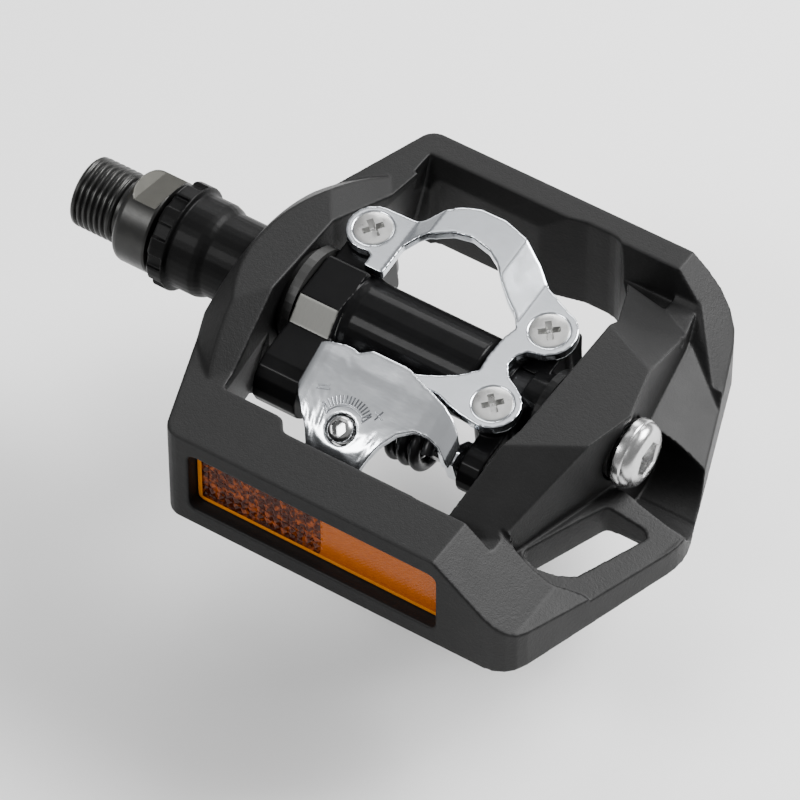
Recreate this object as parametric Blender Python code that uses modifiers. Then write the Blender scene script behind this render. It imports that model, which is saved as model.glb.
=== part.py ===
"""Clipless trekking pedal for the right-hand crank, modelled as an assembly of separate pieces.

World frame: +X runs outboard along the spindle, +Y points forward, +Z points up.  The origin is the
centre of the spindle's flat inboard end.  Lengths below are millimetres; MM turns them into metres.
The binding and everything clamped to it are drawn in a frame that is tipped nose-up by BINDING_TILT
about the spindle axis, which is how the pedal sits while its cage is popped up.
"""

import math

import bmesh
import bpy
from mathutils import Matrix, Vector

MM = 0.001
GAP = 0.3                      # clearance kept between neighbouring faces
ROUND = 40                     # facets around a full turned piece
BINDING_TILT = 7.5             # degrees, nose-up

# Spindle and its crank thread, 9/16 inch by 20 per inch
THREAD_RADIUS = 7.1
THREAD_END = 8.6
RELIEF_RADIUS = 6.2
SHOULDER_X = 10.6
WRENCH_RADIUS = 9.35
WRENCH_END = 18.6
WRENCH_FLAT = 7.5              # half of the 15 mm across the spanner flats
WRENCH_ROLL = -12.0            # degrees, where the flats have come to rest
SEAL_SEAT_RADIUS = 7.0
SEAL_SEAT_END = 30.2
CORE_RADIUS = 3.9
CORE_END = 82.2
STUD_RADIUS = 2.6
STUD_END = 97.9

# Bearings
BALL_RADIUS = 0.9
BALL_PITCH_RADIUS = 3.85
BALL_COUNT = 12
BALL_ROWS = {"inboard_ball_row": 83.8, "outboard_ball_row": 89.8}
CONE_SPAN = (91.3, 94.4)
NUT_SPAN = (94.8, 97.0)
SLEEVE_SPAN = (31.1, 98.3)
SLEEVE_RADII = (5.0, 5.7)
SPINDLE_BUSH_SPAN = (32.0, 43.0)
SPINDLE_BUSH_RADII = (4.2, 4.7)

# Lock collar on the inboard end of the binding body
COLLAR_START = 19.6
SPLINE_END = 23.7
SPLINE_RADIUS = 10.6
SPLINE_COUNT = 10
BARREL_RADIUS = 9.45
BARREL_END = 30.3
NECK_RADIUS = 8.5
COLLAR_END = 37.9

# Binding body
JOURNAL_RADIUS = 7.8
BORE_RADIUS = 6.0
BORE_END = 98.8
BLOCK_SPAN = (51.7, 60.4)
TUBE_RADIUS = 8.4
TUBE_END = 88.9
WAIST_RADIUS = 6.6
TAIL_SPAN = (92.7, 99.9)
OUTER_JOURNAL_RADIUS = 5.0
OUTER_JOURNAL_END = 118.0
PLATE_THICKNESS = 2.1
PLATE_TOP = 9.0
HOOP_TOP = 12.0
PLATE_SCREWS = {
    "plate_screw_inboard": (55.5, 13.9, PLATE_TOP),
    "plate_screw_front": (96.2, 10.3, PLATE_TOP),
    "plate_screw_rear": (95.9, -8.6, PLATE_TOP),
}
SCREW_HEAD_RADIUS = 3.75
SCREW_RADIUS = 2.0
POST_RADIUS = 3.9

# Rear claw, its pin and its springs
PIN_Y = -16.5
PIN_Z = -1.2
PIN_RADIUS = 2.0
PIN_SPAN = (51.5, 98.8)
CLAW_SPAN = (61.6, 94.6)
CLAW_THICKNESS = 2.2
CLAW_LEG = 2.2
EAR_RADIUS = 4.9
SPRING_WIRE = 2.3
SPRING_RADIUS = 4.2
SPRING_PITCH = 2.62
CLAW_SPRINGS = {"claw_spring_inboard": (65.3, 1.35), "claw_spring_outboard": (79.4, 3.4)}
POPUP_SPRING = (105.0, 2.5, 6.9, 1.6, 1.85)
BOLT_X = 73.9
BOLT_Y = -26.0
BOLT_Z = 6.7
BOLT_LEAN = 30.0               # degrees between the tension bolt and the vertical
BOLT_HEAD_RADIUS = 2.55
BOLT_SHANK_RADIUS = 1.75
TENSION_DEPTH = 7.8

# Cage
CAGE_HALF_LENGTH = 45.0
CAGE_BOTTOM = -18.8
CAGE_TOP = 4.4
NOSE_TOP = 11.0
BRIDGE_TOP = 9.6
INNER_CORNER_X = 47.8
NOSE_X = 38.3
NOSE_HALF = 18.0
NOSE_EDGE_X = 39.0
NOSE_EDGE_RADIUS = 31.4
UNDERCUT_LEAN = math.radians(6.7)
BRIDGE_INNER_X = 104.2
SEAT_X = 118.6
RAMP_X = 105.5
NOSE_BORE_RADIUS = 9.2
BRIDGE_BORE_RADIUS = 6.3
SPRING_POCKET_RADIUS = 8.3
SPRING_POCKET_END = 110.8
TROUGH_RADIUS = 8.0
TROUGH_Y = 4.5
TROUGH_Z = -9.8
DECK_RIM_Z = -11.8
DECK_FEET = {-1: (-6.5, 14.5), 1: (-5.0, 11.5)}     # height at the bridge and width of each deck's slope
DECK_UNDERSIDE_Z = -14.0
GRIP_HEIGHT = 0.8
GRIP_PITCH = 5.0
GRIP_COUNT = 11
LENS_SPAN = (53.0, 106.0)
LENS_Z = (-13.7, 0.2)
LENSES = {
    -1: {"face": 42.2, "thickness": 2.0, "back": 37.4},
    1: {"face": 44.4, "thickness": 1.3, "back": 41.6},
}

# Bearings of the cage on the binding body
NOSE_BUSH_SPAN = (38.4, 48.8)
NOSE_BUSH_RADII = (8.1, 8.9)
BRIDGE_BUSH_SPAN = (111.2, 118.0)
BRIDGE_BUSH_RADII = (5.3, 6.0)
THRUST_SPAN = (49.4, 51.3)
THRUST_RADII = (8.1, 10.2)
RING_SPAN = (102.2, 103.8)
RING_RADII = (5.3, 8.7)

# Cage bolt
BOLT_HEAD_X = 118.9
BUTTON_RADIUS = 6.8
BUTTON_END = 123.3
CAGE_BOLT_RADIUS = 3.0


def clear_scene():
    for obj in list(bpy.data.objects):
        bpy.data.objects.remove(obj)


def collection(name):
    group = bpy.data.collections.new(name)
    bpy.context.scene.collection.children.link(group)
    return group


def material(name, colour, roughness, metallic=0.0):
    made = bpy.data.materials.new(name)
    made.use_nodes = True
    shader = made.node_tree.nodes["Principled BSDF"]
    shader.inputs["Base Color"].default_value = (*colour, 1.0)
    shader.inputs["Roughness"].default_value = roughness
    shader.inputs["Metallic"].default_value = metallic
    return made


def along_x():
    """Turns a shape drawn in local XY and standing along local Z into one lying along world X."""
    return Matrix(((0, 0, 1, 0), (1, 0, 0, 0), (0, 1, 0, 0), (0, 0, 0, 1)))


def link(obj):
    bpy.context.scene.collection.objects.link(obj)
    return obj


def baked(obj, name):
    """Replaces an object by a welded mesh of what it evaluates to, in world space."""
    bpy.context.view_layer.update()
    graph = bpy.context.evaluated_depsgraph_get()
    mesh = bpy.data.meshes.new_from_object(obj.evaluated_get(graph), depsgraph=graph)
    mesh.transform(obj.matrix_world)
    form = bmesh.new()
    form.from_mesh(mesh)
    bmesh.ops.remove_doubles(form, verts=form.verts, dist=1e-6)
    bmesh.ops.recalc_face_normals(form, faces=form.faces)
    form.to_mesh(mesh)
    form.free()
    bpy.data.objects.remove(obj)
    mesh.name = name
    return link(bpy.data.objects.new(name, mesh))


def prism(outline, low, high, axis="Z"):
    """Solid of a closed outline, from low to high along Z, or along X for an outline in (y, z)."""
    curve = bpy.data.curves.new("outline", "CURVE")
    curve.dimensions = "2D"
    curve.fill_mode = "BOTH"
    curve.extrude = (high - low) / 2 * MM
    spline = curve.splines.new("POLY")
    spline.points.add(len(outline) - 1)
    for point, (a, b) in zip(spline.points, outline):
        point.co = (a * MM, b * MM, 0, 1)
    spline.use_cyclic_u = True
    obj = link(bpy.data.objects.new("prism", curve))
    shift = Matrix.Translation((0, 0, (low + high) / 2 * MM))
    obj.matrix_world = (along_x() if axis == "X" else Matrix()) @ shift
    return baked(obj, "prism")


def turned(profile, y=0.0, z=0.0, steps=ROUND):
    """Solid of a closed (x, radius) profile turned about a line along X."""
    mesh = bpy.data.meshes.new("profile")
    count = len(profile)
    edges = [(i, (i + 1) % count) for i in range(count)]
    mesh.from_pydata([(radius * MM, 0, x * MM) for x, radius in profile], edges, [])
    obj = link(bpy.data.objects.new("turned", mesh))
    screw = obj.modifiers.new("turn", "SCREW")
    screw.steps = steps
    screw.render_steps = steps
    screw.use_merge_vertices = True
    screw.merge_threshold = 0.00001
    obj.matrix_world = Matrix.Translation((0, y * MM, z * MM)) @ along_x()
    return baked(obj, "turned")


def rod(start, end, radius, y=0.0, z=0.0, steps=ROUND):
    return turned([(start, 0), (start, radius), (end, radius), (end, 0)], y, z, steps)


def tube(start, end, inner, outer, y=0.0, z=0.0, steps=ROUND):
    return turned([(start, inner), (start, outer), (end, outer), (end, inner)], y, z, steps)


def post(x, y, low, high, radius, top_radius=None, steps=28):
    """Upright cylinder or cone."""
    form = bmesh.new()
    bmesh.ops.create_cone(form, cap_ends=True, segments=steps, radius1=radius * MM,
                          radius2=(radius if top_radius is None else top_radius) * MM,
                          depth=(high - low) * MM)
    mesh = bpy.data.meshes.new("post")
    form.to_mesh(mesh)
    form.free()
    obj = link(bpy.data.objects.new("post", mesh))
    obj.location = (x * MM, y * MM, (low + high) / 2 * MM)
    return baked(obj, "post")


def block(x_span, y_span, z_span):
    corners = [(x_span[0], y_span[0]), (x_span[1], y_span[0]), (x_span[1], y_span[1]), (x_span[0], y_span[1])]
    return prism(corners, *z_span)


def combine(target, tools, operation):
    """Boolean of a solid with a list of solids, which are used up."""
    for tool in tools:
        step = target.modifiers.new("step", "BOOLEAN")
        step.operation = operation
        step.solver = "EXACT"
        step.object = tool
        name = target.name
        target = baked(target, name)
        bpy.data.objects.remove(tool)
    return target


def join(target, *tools):
    return combine(target, tools, "UNION")


def cut(target, *tools):
    return combine(target, tools, "DIFFERENCE")


def arc(centre, radius, start, end, steps):
    """Points on an arc, angles in degrees."""
    points = []
    for i in range(steps + 1):
        angle = math.radians(start + (end - start) * i / steps)
        points.append((centre[0] + radius * math.cos(angle), centre[1] + radius * math.sin(angle)))
    return points


def rounded(corners, radius, steps=3):
    """Outline whose corners are (x, y) or (x, y, own radius), each turned into an arc."""
    points = []
    count = len(corners)
    for i, corner in enumerate(corners):
        here = Vector(corner[:2])
        reach = corner[2] if len(corner) > 2 else radius
        back = (Vector(corners[i - 1][:2]) - here).normalized()
        ahead = (Vector(corners[(i + 1) % count][:2]) - here).normalized()
        half = back.angle(ahead) / 2
        if reach < 0.05 or half > math.radians(87):
            points.append(tuple(here))
            continue
        tangent = reach / math.tan(half)
        centre = here + (back + ahead).normalized() * (reach / math.sin(half))
        first = here + back * tangent - centre
        sweep = first.angle_signed(here + ahead * tangent - centre)
        for k in range(steps + 1):
            turn = Matrix.Rotation(-sweep * k / steps, 2)
            points.append(tuple(centre + turn @ first))
    return points


def shade(obj):
    for face in obj.data.polygons:
        face.use_smooth = True
    obj.data.set_sharp_from_angle(angle=math.radians(35))


def finish(obj, name, group, finish_material, parent=None, origin=(0, 0, 0)):
    """Names a solid, gives it its material, and moves its origin to a point in its parent's frame."""
    shade(obj)
    obj.name = name
    obj.data.name = name
    obj.data.materials.clear()
    obj.data.materials.append(finish_material)
    point = Vector(origin) * MM
    obj.data.transform(Matrix.Translation(-point))
    obj.location = point
    obj.parent = parent
    for old in list(obj.users_collection):
        old.objects.unlink(obj)
    group.objects.link(obj)
    return obj


def frame(name, location=(0, 0, 0), tilt=0.0, parent=None):
    empty = link(bpy.data.objects.new(name, None))
    empty.location = Vector(location) * MM
    empty.rotation_euler = (math.radians(tilt), 0, 0)
    empty.parent = parent
    return empty


def hexagon(across_flats):
    return arc((0, 0), across_flats / math.sqrt(3), 0, 300, 5)


# Spindle and bearings

def make_spindle():
    body = turned([
        (0, 0), (0, 6.2), (1.0, THREAD_RADIUS), (THREAD_END, THREAD_RADIUS),
        (THREAD_END + 0.7, RELIEF_RADIUS), (SHOULDER_X, RELIEF_RADIUS),
        (SHOULDER_X, 8.6), (SHOULDER_X + 0.8, WRENCH_RADIUS), (WRENCH_END - 0.5, WRENCH_RADIUS),
        (WRENCH_END, 8.9), (WRENCH_END, SEAL_SEAT_RADIUS), (SEAL_SEAT_END, SEAL_SEAT_RADIUS),
        (SEAL_SEAT_END + 0.6, CORE_RADIUS), (CORE_END - 0.6, CORE_RADIUS), (CORE_END, 3.8),
        (CORE_END, STUD_RADIUS), (STUD_END, STUD_RADIUS), (STUD_END, 0),
    ])
    cutters = []
    for side in (1, -1):
        far = WRENCH_FLAT * side
        flat = prism([(-12, far), (12, far), (12, far + 6 * side), (-12, far + 6 * side)],
                     SHOULDER_X + 2.2, WRENCH_END - 0.9, "X")
        flat.matrix_world = Matrix.Rotation(math.radians(WRENCH_ROLL), 4, "X")
        cutters.append(baked(flat, "flat"))
    return cut(body, *cutters)


def make_ball_row(x):
    """One row of balls held in a thin ring, so the row is one piece."""
    ring = turned([(x + 0.45 * math.cos(a), BALL_PITCH_RADIUS + 0.45 * math.sin(a))
                   for a in [math.radians(60 * k) for k in range(6)]], steps=36)
    balls = []
    for k in range(BALL_COUNT):
        angle = 2 * math.pi * k / BALL_COUNT
        form = bmesh.new()
        bmesh.ops.create_icosphere(form, subdivisions=2, radius=BALL_RADIUS * MM)
        mesh = bpy.data.meshes.new("ball")
        form.to_mesh(mesh)
        form.free()
        ball = link(bpy.data.objects.new("ball", mesh))
        ball.location = (x * MM, BALL_PITCH_RADIUS * math.cos(angle) * MM,
                         BALL_PITCH_RADIUS * math.sin(angle) * MM)
        balls.append(baked(ball, "ball"))
    return join(ring, *balls)


def make_hex_ring(span, across_flats):
    ring = prism(hexagon(across_flats), *span, "X")
    return cut(ring, rod(span[0] - 1, span[1] + 1, STUD_RADIUS + GAP, steps=24))


def make_lock_collar():
    body = turned([
        (COLLAR_START, 9.1), (COLLAR_START, 10.1), (COLLAR_START + 0.6, SPLINE_RADIUS),
        (SPLINE_END - 0.4, SPLINE_RADIUS), (SPLINE_END, BARREL_RADIUS),
        (BARREL_END - 1.8, BARREL_RADIUS), (BARREL_END - 0.7, BARREL_RADIUS - 0.35),
        (BARREL_END, NECK_RADIUS + 0.2), (BARREL_END + 0.4, NECK_RADIUS), (COLLAR_END, NECK_RADIUS),
        (COLLAR_END, BORE_RADIUS),
        (SLEEVE_SPAN[0] - 0.4, BORE_RADIUS), (SLEEVE_SPAN[0] - 0.4, 7.4), (22.0, 7.4), (22.0, 9.1),
    ])
    cutters = []
    for k in range(SPLINE_COUNT):
        notch = block((COLLAR_START - 1, SPLINE_END - 0.7), (-1.5, 1.5), (9.65, 12.5))
        notch.matrix_world = Matrix.Rotation(2 * math.pi * k / SPLINE_COUNT, 4, "X")
        cutters.append(baked(notch, "notch"))
    return cut(body, *cutters)


# Binding body, plate and screws

def make_binding_body():
    body = rod(38.2, BLOCK_SPAN[0] + 2, JOURNAL_RADIUS)
    block_outline = rounded([(-5.2, 9.0), (-10.4, 4.6), (-12.4, -3.0), (-7.0, -9.6), (7.0, -9.6),
                             (13.5, -5.0), (13.5, 6.4), (5.8, 6.4), (4.9, 9.0)], 0.7, 2)
    inboard_block = prism(block_outline, *BLOCK_SPAN, "X")
    barrel = turned([(BLOCK_SPAN[1] - 2, 0), (BLOCK_SPAN[1] - 2, TUBE_RADIUS), (TUBE_END - 0.8, TUBE_RADIUS),
                     (TUBE_END, TUBE_RADIUS - 0.8), (TUBE_END, WAIST_RADIUS), (TAIL_SPAN[0] + 2, WAIST_RADIUS),
                     (TAIL_SPAN[0] + 2, 0)])
    root_cone = turned([(BLOCK_SPAN[1] - 1, 0), (BLOCK_SPAN[1] - 1, 8.8), (BLOCK_SPAN[1] + 0.6, 8.8),
                        (BLOCK_SPAN[1] + 3.2, 8.0), (BLOCK_SPAN[1] + 3.2, 0)])
    tail_outline = rounded([(-4.5, 5.3), (-9.4, 4.2), (-9.4, -6.4), (-6.0, -9.4), (6.5, -9.4),
                            (14.6, -5.0), (15.6, 4.6), (7.0, 5.3)], 1.0, 2)
    tail = prism(tail_outline, *TAIL_SPAN, "X")
    boss = rod(TAIL_SPAN[1] - 2, 101.8, WAIST_RADIUS)
    journal = rod(100, OUTER_JOURNAL_END, OUTER_JOURNAL_RADIUS, steps=32)
    parts = [inboard_block, barrel, root_cone, tail, boss, journal]
    for x, y, top in PLATE_SCREWS.values():
        parts.append(post(x, y, -4.0, top - PLATE_THICKNESS - GAP, POST_RADIUS))
    parts.append(block((BLOCK_SPAN[0], 60.0), (5.0, 13.9), (-5.0, PLATE_TOP - PLATE_THICKNESS - GAP)))
    parts.append(make_ear(BLOCK_SPAN[0], CLAW_SPAN[0] - 0.6, -9.0, 6.4))
    parts.append(make_ear(CLAW_SPAN[1] + 0.5, 99.5, -8.0, EAR_RADIUS))
    body = join(body, *parts)
    cutters = [
        rod(30, BORE_END, BORE_RADIUS),
        rod(103.5, 125, CAGE_BOLT_RADIUS + GAP, steps=24),
        rod(PIN_SPAN[0] - GAP, PIN_SPAN[1] + GAP, PIN_RADIUS + GAP, PIN_Y, PIN_Z, 24),
    ]
    for x, y, top in PLATE_SCREWS.values():
        cutters.append(post(x, y, -3.4, top + 5, SCREW_RADIUS + GAP, steps=20))
    return cut(body, *cutters)


def make_ear(start, end, root_y, radius):
    """Lug that reaches back from the body and carries the claw pin."""
    outline = [(root_y, PIN_Z + radius), (PIN_Y + 1.0, PIN_Z + radius)]
    outline += arc((PIN_Y, PIN_Z), radius, 100, 270, 8)
    outline += [(root_y + 2, -7.5)]
    return prism(outline, start, end, "X")


def hoop_outline():
    """Plan of the front claw: inboard lug, raised hoop and front outboard lug."""
    hoop_inner = [(62.6, 13.0), (64.8, 15.4), (67.7, 16.9), (70.3, 18.7), (74.0, 19.5), (78.3, 18.5),
                  (81.0, 16.8), (83.6, 13.9), (86.3, 11.6), (89.0, 9.9), (90.6, 7.6), (90.6, 6.0)]
    hoop_outer = [(91.3, 18.3), (87.6, 21.4), (82.9, 24.2), (77.3, 25.9), (72.1, 25.8), (68.6, 24.4),
                  (65.6, 21.8), (63.6, 19.9), (61.0, 19.2)]
    front_lug = arc(PLATE_SCREWS["plate_screw_front"][:2], 5.5, -62, 82, 8)
    inboard_lug = arc(PLATE_SCREWS["plate_screw_inboard"][:2], 5.2, 92, 290, 10)
    return [(58.4, 6.0), (62.6, 6.0)] + hoop_inner + front_lug + hoop_outer + inboard_lug + [(58.4, 8.4)]


def rear_plate_outline():
    """Plan of the flat run from the front outboard lug back to the rear lug and under the rear claw."""
    rear_lug = arc(PLATE_SCREWS["plate_screw_rear"][:2], 5.4, -92, 52, 8)
    inner = [(98.5, 8.0), (90.6, 8.0), (89.7, 5.0), (89.4, 0.0), (89.7, -3.4), (87.1, -6.2),
             (83.6, -8.4), (80.2, -10.0), (76.4, -10.8), (72.3, -10.9), (70.6, -11.8)]
    outer = [(86.0, -11.8), (89.0, -12.8), (92.4, -13.6)]
    notch = [(97.4, -3.2), (95.2, -2.0), (93.7, 0.2), (93.9, 2.4), (95.2, 4.3), (98.6, 5.2)]
    return inner + outer + rear_lug + notch


def make_front_claw_plate():
    """Stamped plate: a flat rear run joined to a hoop that steps up to catch the cleat's nose."""
    hoop_x = [(45.0, 0.0), (62.2, 0.0), (66.4, 1.0), (83.0, 1.0), (90.4, 0.0), (106.0, 0.0)]
    rise = HOOP_TOP - PLATE_TOP
    top = [(x, PLATE_TOP + rise * share) for x, share in hoop_x]
    bottom = [(x, z - PLATE_THICKNESS) for x, z in reversed(top)]
    bent = prism(top + bottom, -40, -2)
    bent.matrix_world = Matrix.Rotation(math.radians(90), 4, "X")
    bent = baked(bent, "bent")
    hoop = combine(prism(hoop_outline(), 0, 20), [bent], "INTERSECT")
    rear = prism(rear_plate_outline(), PLATE_TOP - PLATE_THICKNESS, PLATE_TOP)
    plate = join(hoop, rear)
    cutters = []
    for x, y, top_z in PLATE_SCREWS.values():
        cutters.append(post(x, y, top_z - PLATE_THICKNESS + 0.1, top_z + 0.5, SCREW_RADIUS + GAP,
                            SCREW_HEAD_RADIUS + GAP + 0.4))
        cutters.append(post(x, y, top_z - 6, top_z, SCREW_RADIUS + GAP, steps=20))
    return cut(plate, *cutters)


def make_plate_screw(x, y, top):
    head_low = top - PLATE_THICKNESS + 0.5
    head = post(x, y, head_low, top, SCREW_RADIUS, SCREW_HEAD_RADIUS)
    shank = post(x, y, -3.0, head_low + 0.3, SCREW_RADIUS, steps=20)
    screw = join(head, shank)
    slots = []
    for turn in (35, 125):
        slot = block((-2.1, 2.1), (-0.45, 0.45), (top - 1.3, top + 1))
        place = Matrix.Translation((x * MM, y * MM, 0))
        slot.matrix_world = place @ Matrix.Rotation(math.radians(turn), 4, "Z")
        slots.append(baked(slot, "slot"))
    return cut(screw, *slots)


# Rear claw

CLAW_PROFILE = [(-11.2, 12.0), (-13.0, 11.3), (-15.0, 10.5), (-17.0, 9.9), (-19.0, 9.2), (-22.5, 8.0),
                (-26.0, 6.6), (-29.0, 4.5), (-31.0, 2.0), (-32.3, -1.0), (-32.9, -4.0)]


def on_profile(step):
    """Point of the claw's outer profile at a fractional index."""
    low = min(int(step), len(CLAW_PROFILE) - 2)
    share = step - low
    a, b = CLAW_PROFILE[low], CLAW_PROFILE[low + 1]
    return a[0] + (b[0] - a[0]) * share, a[1] + (b[1] - a[1]) * share


def claw_stations():
    """Stations along X: x, first and last profile index, and how far the surface dips there."""
    return [
        (61.6, 1.1, 4.7, 1.1), (63.0, 1.0, 5.3, 0.3), (65.0, 0.8, 5.9, 0.0), (67.0, 0.6, 6.6, 0.0),
        (68.6, 0.6, 7.6, 0.0), (69.8, 0.8, 9.3, 0.0), (72.0, 0.0, 10.0, 0.0), (76.0, 0.0, 10.0, 0.0),
        (79.0, 0.0, 9.4, 0.0), (80.4, 0.1, 7.4, 0.0), (81.8, 0.4, 6.0, 0.0), (84.0, 0.8, 5.0, 0.0),
        (86.6, 1.2, 4.5, 0.1), (89.4, 1.6, 4.4, 0.5), (91.8, 2.1, 4.5, 1.4), (93.6, 2.8, 4.8, 2.7),
        (94.6, 3.4, 4.9, 4.2),
    ]


def make_rear_claw():
    """Domed sheet lofted along X, with a leg at each end that hangs on the pin."""
    rows = 11
    stations = claw_stations()
    form = bmesh.new()
    grid = []
    for x, first, last, dip in stations:
        line = []
        for k in range(rows):
            y, z = on_profile(first + (last - first) * k / (rows - 1))
            line.append(form.verts.new((x * MM, y * MM, (z - dip) * MM)))
        grid.append(line)
    for i in range(len(stations) - 1):
        for k in range(rows - 1):
            form.faces.new((grid[i][k], grid[i][k + 1], grid[i + 1][k + 1], grid[i + 1][k]))
    mesh = bpy.data.meshes.new("claw")
    form.to_mesh(mesh)
    form.free()
    shell = link(bpy.data.objects.new("claw", mesh))
    wall = shell.modifiers.new("wall", "SOLIDIFY")
    wall.thickness = CLAW_THICKNESS * MM
    wall.offset = -1
    shell = baked(shell, "claw")
    legs = []
    for start in (CLAW_SPAN[0], CLAW_SPAN[1] - CLAW_LEG):
        inboard = start == CLAW_SPAN[0]
        crown = [(-21.4, 6.4), (-18.0, 7.4), (-15.0, 7.8)] if inboard else [(-21.0, 3.6), (-18.2, 4.4)]
        outline = crown + [(PIN_Y + 3.8, PIN_Z + 1.2)]
        outline += arc((PIN_Y, PIN_Z), 3.8, 0, -180, 8)
        legs.append(prism(outline, start + 0.02, start + CLAW_LEG, "X"))
    claw = join(shell, *legs)
    pin_hole = rod(55, 99, PIN_RADIUS + GAP, PIN_Y, PIN_Z, 24)
    return cut(claw, pin_hole, on_bolt_axis(post(0, 0, -5, 8, BOLT_HEAD_RADIUS + 0.45)))


def on_bolt_axis(obj):
    """Stands a shape, drawn upright at the origin, on the tension bolt's leaning axis."""
    place = Matrix.Translation((BOLT_X * MM, BOLT_Y * MM, BOLT_Z * MM))
    obj.matrix_world = place @ Matrix.Rotation(math.radians(BOLT_LEAN), 4, "X") @ obj.matrix_world
    return baked(obj, obj.name)


def make_tension_bolt():
    dome = [(0.9, 0), (0.8, 1.0), (0.45, 1.9), (-0.3, BOLT_HEAD_RADIUS), (-1.6, BOLT_HEAD_RADIUS),
            (-1.6, BOLT_SHANK_RADIUS), (-10.8, BOLT_SHANK_RADIUS), (-10.8, 0)]
    bolt = turned(dome, steps=28)
    bolt = cut(bolt, prism(hexagon(3.0), -0.9, 3, "X"))
    bolt.matrix_world = Matrix.Rotation(math.radians(-90), 4, "Y")
    return on_bolt_axis(baked(bolt, "tension_bolt"))


def make_tension_plate():
    plate = block((-4.1, 4.1), (-2.8, 2.6), (-TENSION_DEPTH - 1.1, -TENSION_DEPTH + 1.1))
    plate = cut(plate, post(0, 0, -14, -4, BOLT_SHANK_RADIUS + GAP, steps=24))
    return on_bolt_axis(plate)


def make_coil(start, turns, radius, wire, pitch, y, z):
    """Close-wound torsion spring about a line along X."""
    per_turn = 14
    points = []
    steps = int(turns * per_turn)
    for i in range(steps + 1):
        angle = 2 * math.pi * i / per_turn
        points.append(Vector((start + pitch * i / per_turn, y + radius * math.cos(angle),
                              z + radius * math.sin(angle))))
    curve = bpy.data.curves.new("coil", "CURVE")
    curve.dimensions = "3D"
    curve.bevel_depth = wire / 2 * MM
    curve.bevel_resolution = 2
    curve.use_fill_caps = True
    curve.resolution_u = 1
    curve.render_resolution_u = 0
    spline = curve.splines.new("POLY")
    spline.points.add(len(points) - 1)
    for point, place in zip(spline.points, points):
        point.co = (*(place * MM), 1)
    return baked(link(bpy.data.objects.new("coil", curve)), "coil")


# Cage

def cage_plan():
    return rounded([(NOSE_X, -NOSE_HALF, 4), (INNER_CORNER_X, -CAGE_HALF_LENGTH, 3.5),
                    (121.3, -CAGE_HALF_LENGTH, 7), (134.4, -3.9, 12), (116.4, CAGE_HALF_LENGTH, 11),
                    (INNER_CORNER_X, CAGE_HALF_LENGTH, 3.5), (NOSE_X, NOSE_HALF, 4)], 3, 4)


def placed(solid, along, out, x, y):
    """Stands a solid drawn as (across, z) and extruded along local X on a line in plan."""
    solid.matrix_world = Matrix(((along[0], out[0], 0, x * MM), (along[1], out[1], 0, y * MM),
                                 (0, 0, 1, 0), (0, 0, 0, 1)))
    return baked(solid, "placed")


def flank(start, end, top, run, low, reach, span):
    """Space above a slope that falls away from the axle plane, from the line start-end down to low."""
    rise = (top - low) / run
    along = (Vector(end) - Vector(start)).normalized()
    out = Vector((along.y, -along.x))
    if out.y * start[1] < 0:
        out = -out
    section = [(-2, top + 2 * rise), (-2, 40), (reach, 40), (reach, low), (run, low)]
    return placed(prism(section, *span, "X"), along, out, *start)


def nose_edge():
    """Rounded chamfer that trims the nose above the level of the bars."""
    centre = NOSE_EDGE_X + NOSE_EDGE_RADIUS
    block_around = block((NOSE_X - 10, 75), (-40, 40), (CAGE_TOP, NOSE_TOP + 9))
    low = CAGE_TOP - 1
    high = NOSE_TOP + 10
    cone = post(centre, 0, low, high, NOSE_EDGE_RADIUS + NOSE_TOP - low, NOSE_EDGE_RADIUS + NOSE_TOP - high, 96)
    return cut(block_around, cone)


def inner_opening():
    """Through opening between the beams."""
    rear = [(48.4, -10.0, 1), (49.2, -16.0, 2), (51.1, -30.7, 1), (64.2, -30.7, 2), (66.2, -33.6, 2),
            (BRIDGE_INNER_X - 3.4, -33.6, 1), (BRIDGE_INNER_X, -14.0, 1)]
    front = [(BRIDGE_INNER_X, 20.0, 3), (98.6, 33.0, 6), (92.5, 40.4, 5), (85.0, 40.4, 4), (76.0, 38.2, 4),
             (52.2, 38.2, 2), (49.2, 16.0, 2), (48.4, 10.0, 1)]
    return rounded(rear + front, 2, 3)


def inner_facets():
    """Slopes inside the opening: the front bar's long chamfer and the beam's undercut."""
    front = [(39.6, CAGE_TOP + 6), (39.6, CAGE_TOP), (37.4, -2.6), (34.0, -2.6), (34.0, CAGE_TOP + 6)]
    cutters = [prism(front, 50.8, 106.0, "X")]
    undercut = [(0.4, 3.0), (-4.8, CAGE_BOTTOM - 2), (6, CAGE_BOTTOM - 2), (6, 3.0)]
    for side, length in ((-1, 17.5), (1, 25.0)):
        along = (math.sin(UNDERCUT_LEAN), side * math.cos(UNDERCUT_LEAN))
        out = (math.cos(UNDERCUT_LEAN), -side * math.sin(UNDERCUT_LEAN))
        cutters.append(placed(prism(undercut, 0, length, "X"), along, out, 48.7, side * 12.5))
    return cutters


def deck_cutter(side, region):
    """Space above one of the two decks that slope down from the bridge to the rim."""
    along = (Vector((113.0, side * 33.0)) - Vector((118.6, side * 3.0))).normalized()
    out = Vector((side * along.y, -side * along.x))
    foot, width = DECK_FEET[side]
    section = [(-30, 30), (-30, foot), (0, foot), (width, DECK_RIM_Z), (60, DECK_RIM_Z - 0.5), (60, 30)]
    space = placed(prism(section, -20, 50, "X"), along, out, 118.6, side * 3.0)
    return combine(prism(region, -30, 29), [space], "INTERSECT")


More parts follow.
